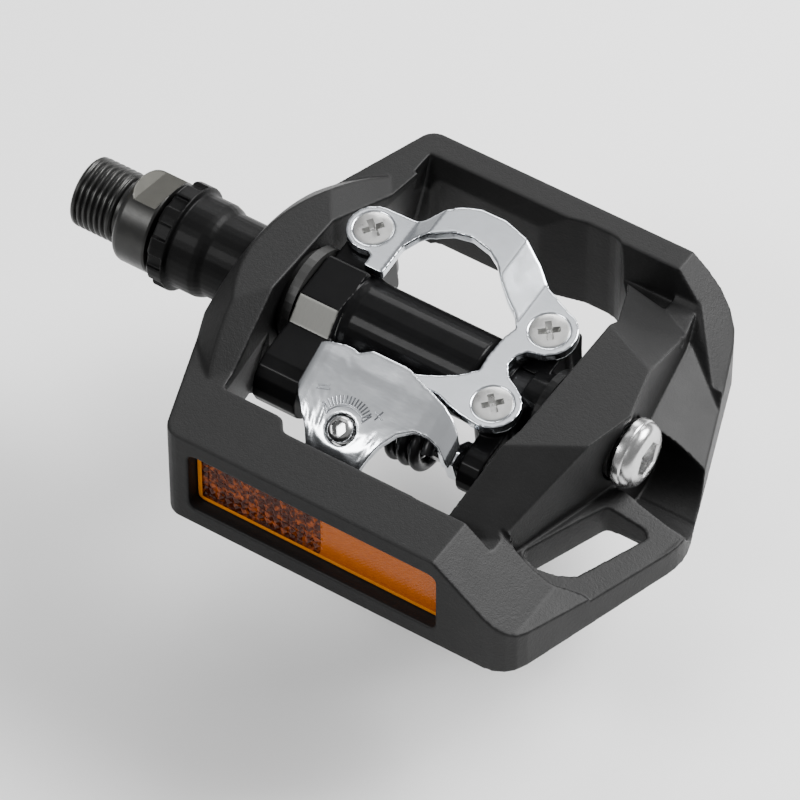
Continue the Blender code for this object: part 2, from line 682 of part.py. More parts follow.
def outboard_cutters():
    """Spaces outboard of the bridge: two decks, the trough, the sloping ends of both bars, and a slot."""
    rear = [(118.8, 3.0), (119.3, 0.0), (116.7, -10.5), (111.4, -28.6), (113.4, -29.6), (117.3, -29.6),
            (120.5, -28.8), (123.0, -27.4), (126.0, -26.2), (150, -25.0), (150, 3.0)]
    front = [(119.3, 0.0), (116.7, 10.5), (113.0, 30.0), (110.6, 39.0), (115.2, 37.6), (120.6, 32.4),
             (150, 26.0), (150, 0.0)]
    front_space = deck_cutter(1, front)
    bank = prism([(24.0, -11.0), (52.0, 9.5), (52.0, -40.0), (24.0, -40.0)], 100, 150, "X")
    cutters = [
        deck_cutter(-1, rear),
        cut(front_space, bank),
        rod(SEAT_X, 150, TROUGH_RADIUS, TROUGH_Y, TROUGH_Z),
        rod(SEAT_X, 150, BUTTON_RADIUS + 1.2),
        prism(rounded([(119.8, -8.2), (128.9, -7.0), (122.8, -23.6), (119.9, -26.0), (116.8, -27.3),
                       (112.6, -26.8)], 1.3, 3), -30, 0),
        prism(rounded([(114.9, -4.8), (129.4, -4.8), (129.6, -7.6), (124.0, -24.6), (120.6, -27.6),
                       (113.2, -28.6), (109.8, -24.0)], 1.3, 3), -30, DECK_UNDERSIDE_Z),
    ]
    cutters.append(bar_end([(-29.0, 110.2), (-29.4, 113.4), (-29.4, 117.3), (-28.6, 120.5), (-27.2, 123.0),
                            (-26.0, 126.0), (-24.8, 150.0)], -33.5, -50, [(16.0, -8.2), (22.0, -10.6)]))
    cutters.append(bar_end([(33.2, 113.0), (28.0, 113.0), (28.0, 150.0)], 33.6, 50,
                           [(16.0, CAGE_TOP - 13.6), (20.0, DECK_RIM_Z)]))
    return cutters


def bar_end(edge, inner, outer, fall):
    """Space above the sloping outboard end of a bar; edge holds (y, x) points along its inner side."""
    plan = [(RAMP_X - 1, outer), (RAMP_X - 1, inner)]
    if inner < 0:
        plan.append((109.4, inner))
    plan += [(x, y) for y, x in edge] + [(150, outer)]
    ramp = [(RAMP_X, 14), (RAMP_X, CAGE_TOP + 0.02)]
    ramp += [(RAMP_X + run, z) for run, z in fall] + [(140, fall[-1][1]), (140, 14)]
    return combine(prism(plan, -30, 13), [wall_plate(ramp, -60, 60)], "INTERSECT")


def grip_ribs():
    """Ribs across the underside of both bars, for riding on the flat side."""
    ribs = []
    for inner in (-32.6, 41.6):
        span = (inner - 10.8, inner) if inner < 0 else (inner, inner + 2.2)
        for k in range(GRIP_COUNT):
            x = 54 + GRIP_PITCH * k
            ribs.append(block((x, x + 2.4), span, (CAGE_BOTTOM, CAGE_BOTTOM + 2 * GRIP_HEIGHT)))
    return ribs


def window_outline(margin):
    x0, x1 = LENS_SPAN[0] - margin, LENS_SPAN[1] + margin
    z0, z1 = LENS_Z[0] - margin, LENS_Z[1] + margin
    return rounded([(x0, z0), (x1, z0), (x1, z1), (x0, z1)], 1.5, 3)


def wall_plate(outline, near, far):
    """Plate drawn as (x, z) that stands between two y values."""
    solid = prism(outline, min(near, far), max(near, far))
    solid.matrix_world = Matrix(((1, 0, 0, 0), (0, 0, 1, 0), (0, 1, 0, 0), (0, 0, 0, 1)))
    return baked(solid, "plate")


def make_cage():
    cage = prism(cage_plan(), CAGE_BOTTOM + GRIP_HEIGHT, NOSE_TOP)
    cage = cut(cage, nose_edge())
    for side in (-1, 1):
        shoulder = flank((43.6, side * 16.6), (47.9, side * 10.4), NOSE_TOP, 11.2, CAGE_TOP, 45, (-30, 18))
        cage = cut(cage, shoulder)
    cage = cut(cage, block((64, 150), (-60, 60), (BRIDGE_TOP, 30)), *bridge_cutters())
    cage = cut(cage, prism(inner_opening(), -40, 40), *inner_facets())
    cage = cut(cage, *outboard_cutters())
    cage = cut(cage, rod(30, 60, NOSE_BORE_RADIUS), rod(95, 125, BRIDGE_BORE_RADIUS),
               rod(100, SPRING_POCKET_END, SPRING_POCKET_RADIUS))
    for side, lens in LENSES.items():
        cage = cut(cage, wall_plate(window_outline(0.3), side * 60, side * lens["back"]))
    return join(cage, *grip_ribs())


def bridge_cutters():
    """Spaces above the bridge's two flanks and above the bars they run down to."""
    rear = flank((116.0, -10.8), (107.6, -16.0), BRIDGE_TOP, 14.3, 0.0, 60, (-60, 60))
    rear = combine(rear, [block((64, 150), (-33.7, 0), (-20, 45))], "INTERSECT")
    front = flank((106.6, 15.9), (115.6, 11.6), BRIDGE_TOP, 16.0, -1.1, 45, (-60, 60))
    front = combine(front, [block((64, 150), (0, 36.0), (-20, 45))], "INTERSECT")
    valley = [(34.0, -1.1), (36.6, -1.5), (37.8, -0.6), (39.6, CAGE_TOP), (41.8, 10.6), (34.0, 10.6)]
    return [rear, front, prism(valley, 99, 114, "X"), block((56, 150), (38.5, 60), (CAGE_TOP, 30)),
            block((56, 150), (-60, -33.0), (CAGE_TOP, 30))]


def make_lens(side, lens):
    return wall_plate(window_outline(0), side * lens["face"], side * (lens["face"] - lens["thickness"]))


def make_housing(side, lens):
    near = lens["face"] - lens["thickness"] - GAP
    return wall_plate(window_outline(0), side * near, side * (lens["back"] + GAP))


def make_cage_bolt():
    body = turned([
        (BOLT_HEAD_X, 0), (BOLT_HEAD_X, BUTTON_RADIUS - 0.3), (BOLT_HEAD_X + 0.5, BUTTON_RADIUS),
        (BOLT_HEAD_X + 1.4, BUTTON_RADIUS), (BOLT_HEAD_X + 2.6, BUTTON_RADIUS - 0.9),
        (BUTTON_END - 0.4, BUTTON_RADIUS - 2.2), (BUTTON_END, BUTTON_RADIUS - 2.6), (BUTTON_END, 0),
    ])
    shank = rod(104.5, BOLT_HEAD_X + 1, CAGE_BOLT_RADIUS, steps=24)
    return cut(join(body, shank), prism(hexagon(6.0), BUTTON_END - 3.2, BUTTON_END + 3, "X"))


def build():
    clear_scene()
    parts = collection("clipless_pedal")
    steel = material("black_steel", (0.03, 0.03, 0.032), 0.35, 1.0)
    bright = material("bright_steel", (0.62, 0.63, 0.65), 0.25, 1.0)
    plated = material("plated_steel", (0.72, 0.74, 0.77), 0.3, 1.0)
    alloy = material("black_alloy", (0.015, 0.015, 0.016), 0.3, 0.4)
    resin = material("black_resin", (0.02, 0.02, 0.02), 0.6)
    bushing = material("bushing_resin", (0.3, 0.3, 0.28), 0.55)
    amber = material("amber_lens", (0.9, 0.3, 0.02), 0.15)

    binding = frame("binding_frame", tilt=BINDING_TILT)
    bolt_point = (BOLT_X, BOLT_Y, BOLT_Z)

    finish(make_spindle(), "spindle", parts, steel)
    finish(make_hex_ring(CONE_SPAN, 8.0), "bearing_cone", parts, bright)
    finish(make_hex_ring(NUT_SPAN, 7.6), "cone_lock_nut", parts, bright)
    for name, x in BALL_ROWS.items():
        finish(make_ball_row(x), name, parts, bright, origin=(x, 0, 0))

    finish(make_lock_collar(), "lock_collar", parts, resin, binding)
    finish(tube(*SLEEVE_SPAN, *SLEEVE_RADII), "axle_sleeve", parts, steel, binding)
    finish(tube(*SPINDLE_BUSH_SPAN, *SPINDLE_BUSH_RADII), "spindle_bushing", parts, bushing, binding)
    finish(make_binding_body(), "binding_body", parts, alloy, binding)
    finish(make_front_claw_plate(), "front_claw_plate", parts, plated, binding)
    for name, place in PLATE_SCREWS.items():
        finish(make_plate_screw(*place), name, parts, bright, binding, place)
    finish(rod(*PIN_SPAN, PIN_RADIUS, PIN_Y, PIN_Z, 24), "claw_pin", parts, bright, binding)
    finish(make_cage_bolt(), "cage_bolt", parts, bright, binding)
    finish(tube(*THRUST_SPAN, *THRUST_RADII), "thrust_washer", parts, bushing, binding)
    finish(tube(*RING_SPAN, *RING_RADII), "end_seal_ring", parts, resin, binding)
    for name, (start, turns) in CLAW_SPRINGS.items():
        coil = make_coil(start, turns, SPRING_RADIUS, SPRING_WIRE, SPRING_PITCH, PIN_Y, PIN_Z)
        finish(coil, name, parts, steel, binding)
    popup = make_coil(*POPUP_SPRING, 0, 0)
    finish(popup, "popup_spring", parts, steel, binding)

    finish(make_rear_claw(), "rear_claw", parts, plated, binding, (0, PIN_Y, PIN_Z))
    finish(make_tension_bolt(), "tension_bolt", parts, bright, binding, bolt_point)
    finish(make_tension_plate(), "tension_plate", parts, steel, binding, bolt_point)

    finish(make_cage(), "cage", parts, resin)
    finish(tube(*NOSE_BUSH_SPAN, *NOSE_BUSH_RADII), "nose_bushing", parts, bushing)
    finish(tube(*BRIDGE_BUSH_SPAN, *BRIDGE_BUSH_RADII), "bridge_bushing", parts, bushing)
    for side, lens in LENSES.items():
        end = "front" if side > 0 else "rear"
        finish(make_lens(side, lens), end + "_reflector_lens", parts, amber)
        finish(make_housing(side, lens), end + "_reflector_housing", parts, resin)


build()
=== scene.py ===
"""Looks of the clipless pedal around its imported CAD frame. Metres, +Z up, +X outboard along the axle."""

import math

import bmesh
import bpy
from mathutils import Matrix, Vector
from mathutils.bvhtree import BVHTree


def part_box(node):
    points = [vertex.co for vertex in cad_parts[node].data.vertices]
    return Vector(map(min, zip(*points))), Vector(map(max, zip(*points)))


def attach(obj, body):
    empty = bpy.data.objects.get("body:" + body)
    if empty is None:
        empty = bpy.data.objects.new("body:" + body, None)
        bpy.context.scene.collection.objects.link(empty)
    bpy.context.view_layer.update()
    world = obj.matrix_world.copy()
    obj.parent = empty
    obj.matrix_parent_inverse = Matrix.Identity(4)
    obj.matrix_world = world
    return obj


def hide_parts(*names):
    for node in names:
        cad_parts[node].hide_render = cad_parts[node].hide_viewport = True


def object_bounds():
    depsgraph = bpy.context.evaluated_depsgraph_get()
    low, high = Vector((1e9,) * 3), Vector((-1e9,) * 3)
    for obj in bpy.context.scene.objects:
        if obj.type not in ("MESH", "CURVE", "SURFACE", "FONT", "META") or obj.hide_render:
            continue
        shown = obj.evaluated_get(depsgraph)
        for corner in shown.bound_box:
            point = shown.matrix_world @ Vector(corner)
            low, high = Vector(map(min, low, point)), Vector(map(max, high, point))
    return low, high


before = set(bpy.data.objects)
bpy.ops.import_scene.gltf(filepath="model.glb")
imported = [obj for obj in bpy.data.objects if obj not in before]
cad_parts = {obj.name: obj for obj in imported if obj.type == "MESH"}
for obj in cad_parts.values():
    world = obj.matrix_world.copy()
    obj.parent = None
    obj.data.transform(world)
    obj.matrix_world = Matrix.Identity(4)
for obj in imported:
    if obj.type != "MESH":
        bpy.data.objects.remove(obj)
cad_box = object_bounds()

MM = 0.001
BINDING = Matrix.Rotation(math.radians(7.5), 4, "X")      # the binding rests nose-up inside the level cage

# Camera, its angles in degrees
AZIMUTH = 32.99
ELEVATION = 48.63
TARGET = Vector((77.64, -12.40, 0.0)) * MM
DISTANCE = 1127.2 * MM
LENS = 277.4

# Studio
FLOOR_GAP = 1.2                   # between the floor and the circle that the pedal's corners sweep
FLOOR_SIZE = 3.0
WORLD_LIGHT = 0.35
PANELS = {                        # direction from the pedal, distance, width and depth, watts
    "key": ((0.55, 0.70, 0.72), 0.75, (0.45, 0.40), 14.0),
    "top": ((-0.25, 0.25, 1.0), 0.80, (0.40, 0.40), 0.7),
    "back": ((-0.35, 0.85, 0.62), 0.85, (0.45, 0.25), 3.0),
    "front_fill": ((-0.42, -0.66, 0.72), 0.85, (0.38, 0.20), 4.2),
}

# Spindle
THREAD_PITCH = 1.27
THREAD_DEPTH = 0.62
THREAD_CREST = 7.1
THREAD_START = 0.55
THREAD_END = 8.7
RELIEF_START = 9.2
HEAD_START = 10.35
HEAD_END = 18.75
FLAT_HALF = 7.5
FLAT_SPAN = (12.9, 17.7)
FLAT_NORMAL = 78.0                # degrees from +Y towards +Z
SPINDLE_PROFILE = [               # thread, relief, spanner section, then the hidden bearing seats
    (0.0, 6.7), (0.3, 7.0), (0.9, THREAD_CREST), (THREAD_END, THREAD_CREST), (THREAD_END + 0.5, 6.3),
    (HEAD_START, 6.2), (10.6, 6.35), (10.75, 8.3), (11.0, 8.8), (11.5, 9.2), (12.1, 9.35), (18.0, 9.35),
    (18.45, 9.1), (18.6, 8.6), (18.7, 7.0), (30.1, 7.0), (30.8, 3.9), (81.6, 3.9), (82.2, 3.8),
    (82.3, 2.6), (97.9, 2.6),
]

# Plate screws
SCREW_HEAD = 3.75
SCREW_SHANK = 2.0
CROSS_WING = ((2.2, 0.66), (1.15, 0.42), -1.55)      # half sizes at the top and at the foot, foot's height
CROSS_WELL = ((1.0, 1.0), (0.6, 0.6), -1.75)
CROSS_TURNS = {"plate_screw_inboard": 52, "plate_screw_front": 38, "plate_screw_rear": 44}

# Springs: coil radius, wire thickness and pitch, then the (y, z) place of the axis
CLAW_COIL = (4.2, 2.3, 2.62)
CLAW_PIN = (-16.5, -1.2)
POPUP_COIL = (6.9, 1.6, 1.85)
AXLE = (0.0, 0.0)

# Tension bolt on the rear claw
BOLT_POINT = BINDING @ (Vector((73.9, -26.0, 6.7)) * MM)
BOLT_AXIS = Vector((0.0, -0.6088, 0.7934))
BOLT_SIDE = Vector((1.0, 0.0, 0.0))
BOLT_UP = BOLT_AXIS.cross(BOLT_SIDE)

# Tension scale, with radii from the tension bolt
TICKS = 15
TICK_RADII = (4.75, 6.35)
SCALE_ARC = 4.35
SCALE_BEAD = 0.17

# Reflector lenses
LENS_START = 53.0
LENS_SPLIT = 79.4                 # the prisms end here along X
LENS_RIM = 0.9
LENS_CORNER = 1.3
PRISM_FIELD = LENS_SPLIT - LENS_START + 0.6
PRISM_CELL = 1.75
PRISM_LEAN = 0.18
PRESSED_CELL = 0.9

# Facet milled on the binding's inboard block, as spans in the binding's own axes
FACET_X = (51.2, 60.7)
FACET_Y = (-10.6, -4.6)
FACET_Z = (4.4, 9.4)


# Materials

class Nodes:
    """Small helper that adds nodes to one material."""

    def __init__(self, name):
        self.material = bpy.data.materials.new(name)
        self.material.use_nodes = True
        self.tree = self.material.node_tree
        self.shader = self.tree.nodes["Principled BSDF"]
        coordinates = self.tree.nodes.new("ShaderNodeTexCoord")
        self.place = coordinates.outputs["Object"]
        self.facing = coordinates.outputs["Normal"]

    def add(self, kind, **values):
        node = self.tree.nodes.new(kind)
        for key, value in values.items():
            setattr(node, key, value)
        return node

    def link(self, source, target):
        self.tree.links.new(source, target)

    def set(self, **values):
        for key, value in values.items():
            self.shader.inputs[key.replace("_", " ")].default_value = value

    def stretched(self, scale):
        """Object coordinates scaled by an amount for each axis."""
        mapping = self.add("ShaderNodeMapping")
        mapping.inputs["Scale"].default_value = scale
        self.link(self.place, mapping.inputs["Vector"])
        return mapping.outputs["Vector"]

    def noise(self, scale, detail=3.0, vector=None, roughness=0.55):
        node = self.add("ShaderNodeTexNoise")
        node.inputs["Scale"].default_value = scale
        node.inputs["Detail"].default_value = detail
        node.inputs["Roughness"].default_value = roughness
        self.link(vector or self.place, node.inputs["Vector"])
        return node.outputs["Fac"]

    def ramp(self, source, low, high, start=(0, 0, 0, 1), end=(1, 1, 1, 1)):
        node = self.add("ShaderNodeValToRGB")
        node.color_ramp.elements[0].position = low
        node.color_ramp.elements[1].position = high
        node.color_ramp.elements[0].color = start
        node.color_ramp.elements[1].color = end
        self.link(source, node.inputs["Fac"])
        return node.outputs["Color"]

    def spread(self, source, low, high):
        """Maps a 0 to 1 value onto a range."""
        node = self.add("ShaderNodeMapRange")
        node.inputs["To Min"].default_value = low
        node.inputs["To Max"].default_value = high
        self.link(source, node.inputs["Value"])
        return node.outputs["Result"]

    def upward(self, low, high):
        """0 on walls and undersides, 1 on faces that look up, in the piece's own axes."""
        axes = self.add("ShaderNodeSeparateXYZ")
        self.link(self.facing, axes.inputs["Vector"])
        return self.ramp(axes.outputs["Z"], low, high)

    def math(self, operation, a, b=None, value=0.5):
        node = self.add("ShaderNodeMath", operation=operation)
        self.link(a, node.inputs[0])
        if b is None:
            node.inputs[1].default_value = value
        else:
            self.link(b, node.inputs[1])
        return node.outputs["Value"]

    def mix(self, factor, first, second):
        node = self.add("ShaderNodeMix", data_type="RGBA")
        self.link(factor, node.inputs["Factor"])
        for socket, value in (("A", first), ("B", second)):
            target = [s for s in node.inputs if s.name == socket and s.type == "RGBA"][0]
            if isinstance(value, tuple):
                target.default_value = (*value, 1)
            else:
                self.link(value, target)
        return [s for s in node.outputs if s.type == "RGBA"][0]

    def bump(self, height, strength, distance, below=None):
        node = self.add("ShaderNodeBump")
        node.inputs["Strength"].default_value = strength
        node.inputs["Distance"].default_value = distance * MM
        self.link(height, node.inputs["Height"])
        if below is not None:
            self.link(below, node.inputs["Normal"])
        self.link(node.outputs["Normal"], self.shader.inputs["Normal"])
        return node.outputs["Normal"]

    def colour(self, source):
        self.link(source, self.shader.inputs["Base Color"])

    def roughness(self, source, low, high):
        self.link(self.spread(source, low, high), self.shader.inputs["Roughness"])


def moulded_resin(name, dark, light, rough, grain=0.07, sheen=0.20):
    """Glass-filled nylon: fine spark-eroded grain, faint mottling, paler on rubbed edges, with painted light
    on upward faces and painted shade on walls and undersides.
    """
    n = Nodes(name)
    fine = n.noise(3400, 2.0)
    mottle = n.noise(160, 4.0)
    specks = n.ramp(n.noise(5200, 1.0), 0.60, 0.74)
    body = n.mix(mottle, dark, light)
    speckled = n.mix(n.math("MULTIPLY", specks, value=0.35), body, tuple(2.4 * c for c in light))
    edge = n.ramp(n.add("ShaderNodeNewGeometry").outputs["Pointiness"], 0.53, 0.62)
    worn = n.math("MULTIPLY", n.math("MULTIPLY", edge, n.ramp(n.noise(900, 4.0), 0.35, 0.7)), value=0.5)
    # Painted light and shade: faces that look up in the piece's own axes get the pale colours, walls and
    # undersides a darker colour.
    painted_light_mask = n.upward(0.10, 0.70)
    # Painted shade colour for walls and undersides.
    walls = tuple(0.40 * c for c in dark)
    n.colour(n.mix(painted_light_mask, walls, n.mix(worn, speckled, tuple(3.0 * c for c in light))))
    n.roughness(mottle, rough - 0.05, rough + 0.06)
    n.set(Specular_IOR_Level=sheen)
    n.bump(n.math("ADD", fine, n.noise(1500, 2.0)), 0.55, grain)
    return n.material


def anodised(name):
    """Satin black anodising over a die-cast body."""
    n = Nodes(name)
    soft = n.noise(220, 3.0)
    n.colour(n.mix(soft, (0.003, 0.003, 0.0032), (0.006, 0.006, 0.0063)))
    n.set(Metallic=0.0, Specular_IOR_Level=0.06, Coat_Weight=0.04, Coat_Roughness=0.10)
    n.roughness(n.noise(600, 3.0), 0.24, 0.36)
    n.bump(n.noise(700, 3.0), 0.25, 0.03)
    return n.material


def dark_steel(name, low, high, rough, metallic=0.85):
    """Blackened steel with a fine turned grain round the axle."""
    n = Nodes(name)
    cloud = n.noise(260, 4.0)
    turned = n.noise(1.0, 2.0, n.stretched((7000, 500, 500)))
    n.colour(n.mix(cloud, low, high))
    n.set(Metallic=metallic)
    n.roughness(n.noise(900, 3.0), rough - 0.07, rough + 0.08)
    n.bump(n.math("ADD", turned, cloud), 0.35, 0.02)
    return n.material


def plated_steel(name, tint, rough):
    """Pressed and plated sheet: broad pressing waves, faint drag marks, tiny plating pits."""
    n = Nodes(name)
    wave = n.noise(170, 2.0)
    drag = n.noise(1.0, 3.0, n.stretched((350, 3800, 3800)))
    pits = n.ramp(n.noise(2600, 2.0), 0.30, 0.42)
    shade = n.mix(n.math("MULTIPLY", n.noise(420, 4.0), value=0.6), tint, tuple(0.86 * c for c in tint))
    n.colour(shade)
    n.set(Metallic=1.0)
    n.roughness(n.math("MULTIPLY", drag, n.noise(300, 3.0)), rough - 0.05, rough + 0.12)
    first = n.bump(wave, 0.25, 0.08)
    second = n.bump(drag, 0.05, 0.008, first)
    n.bump(pits, 0.10, 0.012, second)
    return n.material


def bright_steel(name, tint, rough):
    """Plated fastener steel, a little mottled."""
    n = Nodes(name)
    n.colour(n.mix(n.noise(900, 4.0), tint, tuple(0.72 * c for c in tint)))
    n.set(Metallic=1.0)
    n.roughness(n.noise(1300, 3.0), rough - 0.06, rough + 0.10)
    n.bump(n.noise(1700, 2.0), 0.16, 0.02)
    return n.material


def milled_aluminium(name):
    """Facet milled through the black finish, with feed marks along the cut."""
    n = Nodes(name)
    feed = n.noise(1.0, 3.0, n.stretched((4200, 350, 350)))
    n.colour(n.mix(feed, (0.10, 0.10, 0.095), (0.16, 0.16, 0.15)))
    n.set(Metallic=1.0)
    n.roughness(feed, 0.38, 0.55)
    n.bump(feed, 0.5, 0.03)
    return n.material


def bearing_resin(name):
    """Plain bushing plastic."""
    n = Nodes(name)
    n.colour(n.mix(n.noise(300, 3.0), (0.010, 0.010, 0.010), (0.018, 0.018, 0.017)))
    n.roughness(n.noise(900, 2.0), 0.45, 0.6)
    n.bump(n.noise(2400, 2.0), 0.3, 0.03)
    return n.material


def lens_material(name):
    """Amber acrylic: deep prisms with painted glints of light up to the split, plain pressed surface beyond
    it.
    """
    n = Nodes(name)
    axes = n.add("ShaderNodeSeparateXYZ")
    n.link(n.place, axes.inputs["Vector"])
    cloud = n.noise(700, 3.0)
    # Painted glints: bright orange noise patches in the prism field stand in for light caught by the prisms.
    painted_glints = n.ramp(n.noise(900, 2.0, n.stretched((1.0, 0.6, 1.0))), 0.48, 0.72)
    deep = n.mix(painted_glints, (0.036, 0.0050, 0.0002), (0.26, 0.048, 0.0005))
    plain = n.mix(cloud, (0.27, 0.055, 0.0005), (0.36, 0.082, 0.0010))
    beyond = n.math("GREATER_THAN", axes.outputs["X"], value=LENS_SPLIT * MM)
    n.colour(n.mix(beyond, deep, plain))
    n.set(Roughness=0.18, Specular_IOR_Level=0.22, Coat_Weight=0.04, Coat_Roughness=0.05, IOR=1.49)
    n.bump(n.noise(1500, 2.0), 0.15, 0.03)
    return n.material


def amber_rim(name):
    """Clear edge of the lens, which glows with the light it gathers."""
    n = Nodes(name)
    n.colour(n.mix(n.noise(500, 2.0), (0.56, 0.16, 0.003), (0.66, 0.22, 0.006)))
    n.set(Roughness=0.2, Coat_Weight=0.4)
    n.bump(n.noise(900, 2.0), 0.1, 0.02)
    return n.material


RESIN = moulded_resin("cage_resin", (0.0060, 0.0060, 0.0061), (0.0095, 0.0095, 0.0096), 0.50)
COLLAR_RESIN = moulded_resin("collar_resin", (0.003, 0.003, 0.0031), (0.005, 0.005, 0.0051), 0.42,
                             grain=0.03, sheen=0.09)
ALLOY = anodised("black_anodised_alloy")
SPINDLE_STEEL = dark_steel("spindle_steel", (0.024, 0.024, 0.024), (0.044, 0.044, 0.042), 0.38)
GROUND_STEEL = dark_steel("ground_flat_steel", (0.018, 0.0175, 0.014), (0.034, 0.033, 0.027), 0.42, 0.6)
SPRING_STEEL = dark_steel("spring_steel", (0.010, 0.010, 0.011), (0.020, 0.020, 0.021), 0.34, 0.5)
PLATED = plated_steel("plated_pressed_steel", (0.68, 0.71, 0.75), 0.22)
# Painted light: the rear claw gets a brighter copy of the plated steel, standing in for the light on it.
LIT_CLAW_PLATED = plated_steel("plated_claw_steel_painted_light", (0.86, 0.89, 0.93), 0.25)
# Painted shade: the raised scale strokes get a darker copy of the plated steel, standing in for their
# shading.
SHADED_SCALE_STEEL = plated_steel("tension_scale_steel_painted_shade", (0.30, 0.31, 0.33), 0.30)
SCREW_STEEL = bright_steel("plated_screw_steel", (0.66, 0.66, 0.65), 0.28)
CHROME = bright_steel("bright_bolt_steel", (0.62, 0.62, 0.62), 0.23)
FACET = milled_aluminium("milled_aluminium")
BUSH = bearing_resin("bushing_resin")
LENS_AMBER = lens_material("amber_lens")
RIM_AMBER = amber_rim("amber_lens_rim")


# Mesh helpers

def new_object(name, form, smooth_angle=None):
    mesh = bpy.data.meshes.new(name)
    form.to_mesh(mesh)
    form.free()
    obj = bpy.data.objects.new(name, mesh)
    bpy.context.scene.collection.objects.link(obj)
    if smooth_angle is not None:
        mesh.shade_smooth()
        mesh.set_sharp_from_angle(angle=math.radians(smooth_angle))
    return obj


def baked(obj):
    """Applies the object's modifiers and transform to its mesh."""
    graph = bpy.context.evaluated_depsgraph_get()
    mesh = bpy.data.meshes.new_from_object(obj.evaluated_get(graph), depsgraph=graph)
    made = bpy.data.objects.new(obj.name + "_mesh", mesh)
    bpy.context.scene.collection.objects.link(made)
    mesh.transform(obj.matrix_world)
    bpy.data.objects.remove(obj)
    return made


def cut(obj, cutter):
    tool = obj.modifiers.new("cut", "BOOLEAN")
    tool.operation = "DIFFERENCE"
    tool.object = cutter
    made = baked(obj)
    bpy.data.objects.remove(cutter)
    return made


def placed(obj, name, body, material, replaced=()):
    """Names a finished piece, gives it its material and fixes it to a CAD body."""
    obj.name = name
    if material is not None:
        obj.data.materials.clear()
        obj.data.materials.append(material)
    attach(obj, body)
    if replaced:
        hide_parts(*replaced)
    return obj


def softened(node, name, voxel, passes, body, material):
    """A copy of a CAD node with its edges rounded the way a moulding or pressing has them."""
    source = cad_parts[node]
    obj = bpy.data.objects.new(name, source.data.copy())
    bpy.context.scene.collection.objects.link(obj)
    grid = obj.modifiers.new("grid", "REMESH")
    grid.mode = "VOXEL"
    grid.voxel_size = voxel * MM
    grid.adaptivity = 0.0
    relax = obj.modifiers.new("relax", "SMOOTH")
    relax.factor = 0.5
    relax.iterations = passes
    made = baked(obj)
    made.data.shade_smooth()
    return placed(made, name, body, material, [node])


def turned(name, stations, radius_at, steps, smooth_angle):
    """Closed body of revolution about X whose radius also depends on the angle."""
    form = bmesh.new()
    rings = []
    for x in stations:
        ring = []
        for k in range(steps):
            angle = 2 * math.pi * k / steps
            r = radius_at(x, angle)
            ring.append(form.verts.new((x * MM, r * math.cos(angle) * MM, r * math.sin(angle) * MM)))
        rings.append(ring)
    for a, b in zip(rings, rings[1:]):
        for k in range(steps):
            j = (k + 1) % steps
            form.faces.new((a[k], a[j], b[j], b[k]))
    form.faces.new(rings[0])
    form.faces.new(list(reversed(rings[-1])))
    bmesh.ops.recalc_face_normals(form, faces=form.faces)
    return new_object(name, form, smooth_angle)


def radius_on(points, x):
    """Radius at x of a turned profile, given as (x, radius) points in order along X."""
    for (x0, r0), (x1, r1) in zip(points, points[1:]):
        if x0 <= x <= x1 and x1 > x0:
            return r0 + (r1 - r0) * (x - x0) / (x1 - x0)
    return points[-1][1] if x > points[-1][0] else points[0][1]


def turned_profile(name, points, steps):
    """Closed body of revolution that may have faces square to the axis."""
    form = bmesh.new()
    rings = []
    for x, r in points:
        ring = []
        for k in range(steps):
            angle = 2 * math.pi * k / steps
            ring.append(form.verts.new((x * MM, r * math.cos(angle) * MM, r * math.sin(angle) * MM)))
        rings.append(ring)
    for a, b in zip(rings, rings[1:]):
        for k in range(steps):
            form.faces.new((a[k], a[(k + 1) % steps], b[(k + 1) % steps], b[k]))
    form.faces.new(rings[0])
    form.faces.new(list(reversed(rings[-1])))
    bmesh.ops.recalc_face_normals(form, faces=form.faces)
    return new_object(name, form, 32)


def hex_cutter(across_flats, start, end, mouth):
    """Six-sided socket along X with a small conical mouth at its far end."""
    radius = across_flats / math.sqrt(3)
    sides = 6
    form = bmesh.new()
    levels = [(start, radius), (end - mouth, radius), (end + 2 * mouth, radius + 3 * mouth)]
    rings = [[form.verts.new((x * MM, r * math.cos(math.pi * k / 3) * MM, r * math.sin(math.pi * k / 3) * MM))
              for k in range(sides)] for x, r in levels]
    for a, b in zip(rings, rings[1:]):
        for k in range(sides):
            form.faces.new((a[k], a[(k + 1) % sides], b[(k + 1) % sides], b[k]))
    form.faces.new(rings[0])
    form.faces.new(list(reversed(rings[-1])))
    bmesh.ops.recalc_face_normals(form, faces=form.faces)
    return new_object("socket", form)


def sharpened(obj, angle=32):
    obj.data.shade_smooth()
    obj.data.set_sharp_from_angle(angle=math.radians(angle))
    return obj


# Spindle

def spindle_radius(x, angle):
    """The spindle's profile with its helical thread and the two spanner flats."""
    body = radius_on(SPINDLE_PROFILE, x)
    if x < THREAD_END + 0.5:
        phase = (x / THREAD_PITCH - angle / (2 * math.pi)) % 1.0
        groove = max(0.0, 1.0 - abs(2 * phase - 1.0) * 1.25)
        rounded = groove * groove * (3 - 2 * groove)
        fade_in = min(1.0, max(0.0, x - THREAD_START) / 0.7)
        fade_out = min(1.0, max(0.0, (THREAD_END + 0.3 - x) / 0.9))
        return body - THREAD_DEPTH * rounded * (fade_out * fade_in)
    if 11.0 < x < 18.6:
        run_out = max(0.0, FLAT_SPAN[0] - x) * 0.85 + max(0.0, x - FLAT_SPAN[1]) * 2.5
        across = abs(math.cos(angle - math.radians(FLAT_NORMAL)))
        if across > 0.05:
            return min(body, (FLAT_HALF + run_out) / across)
    return body


def spaced(start, end, step):
    count = max(1, round((end - start) / step))
    return [start + (end - start) * k / count for k in range(count)]


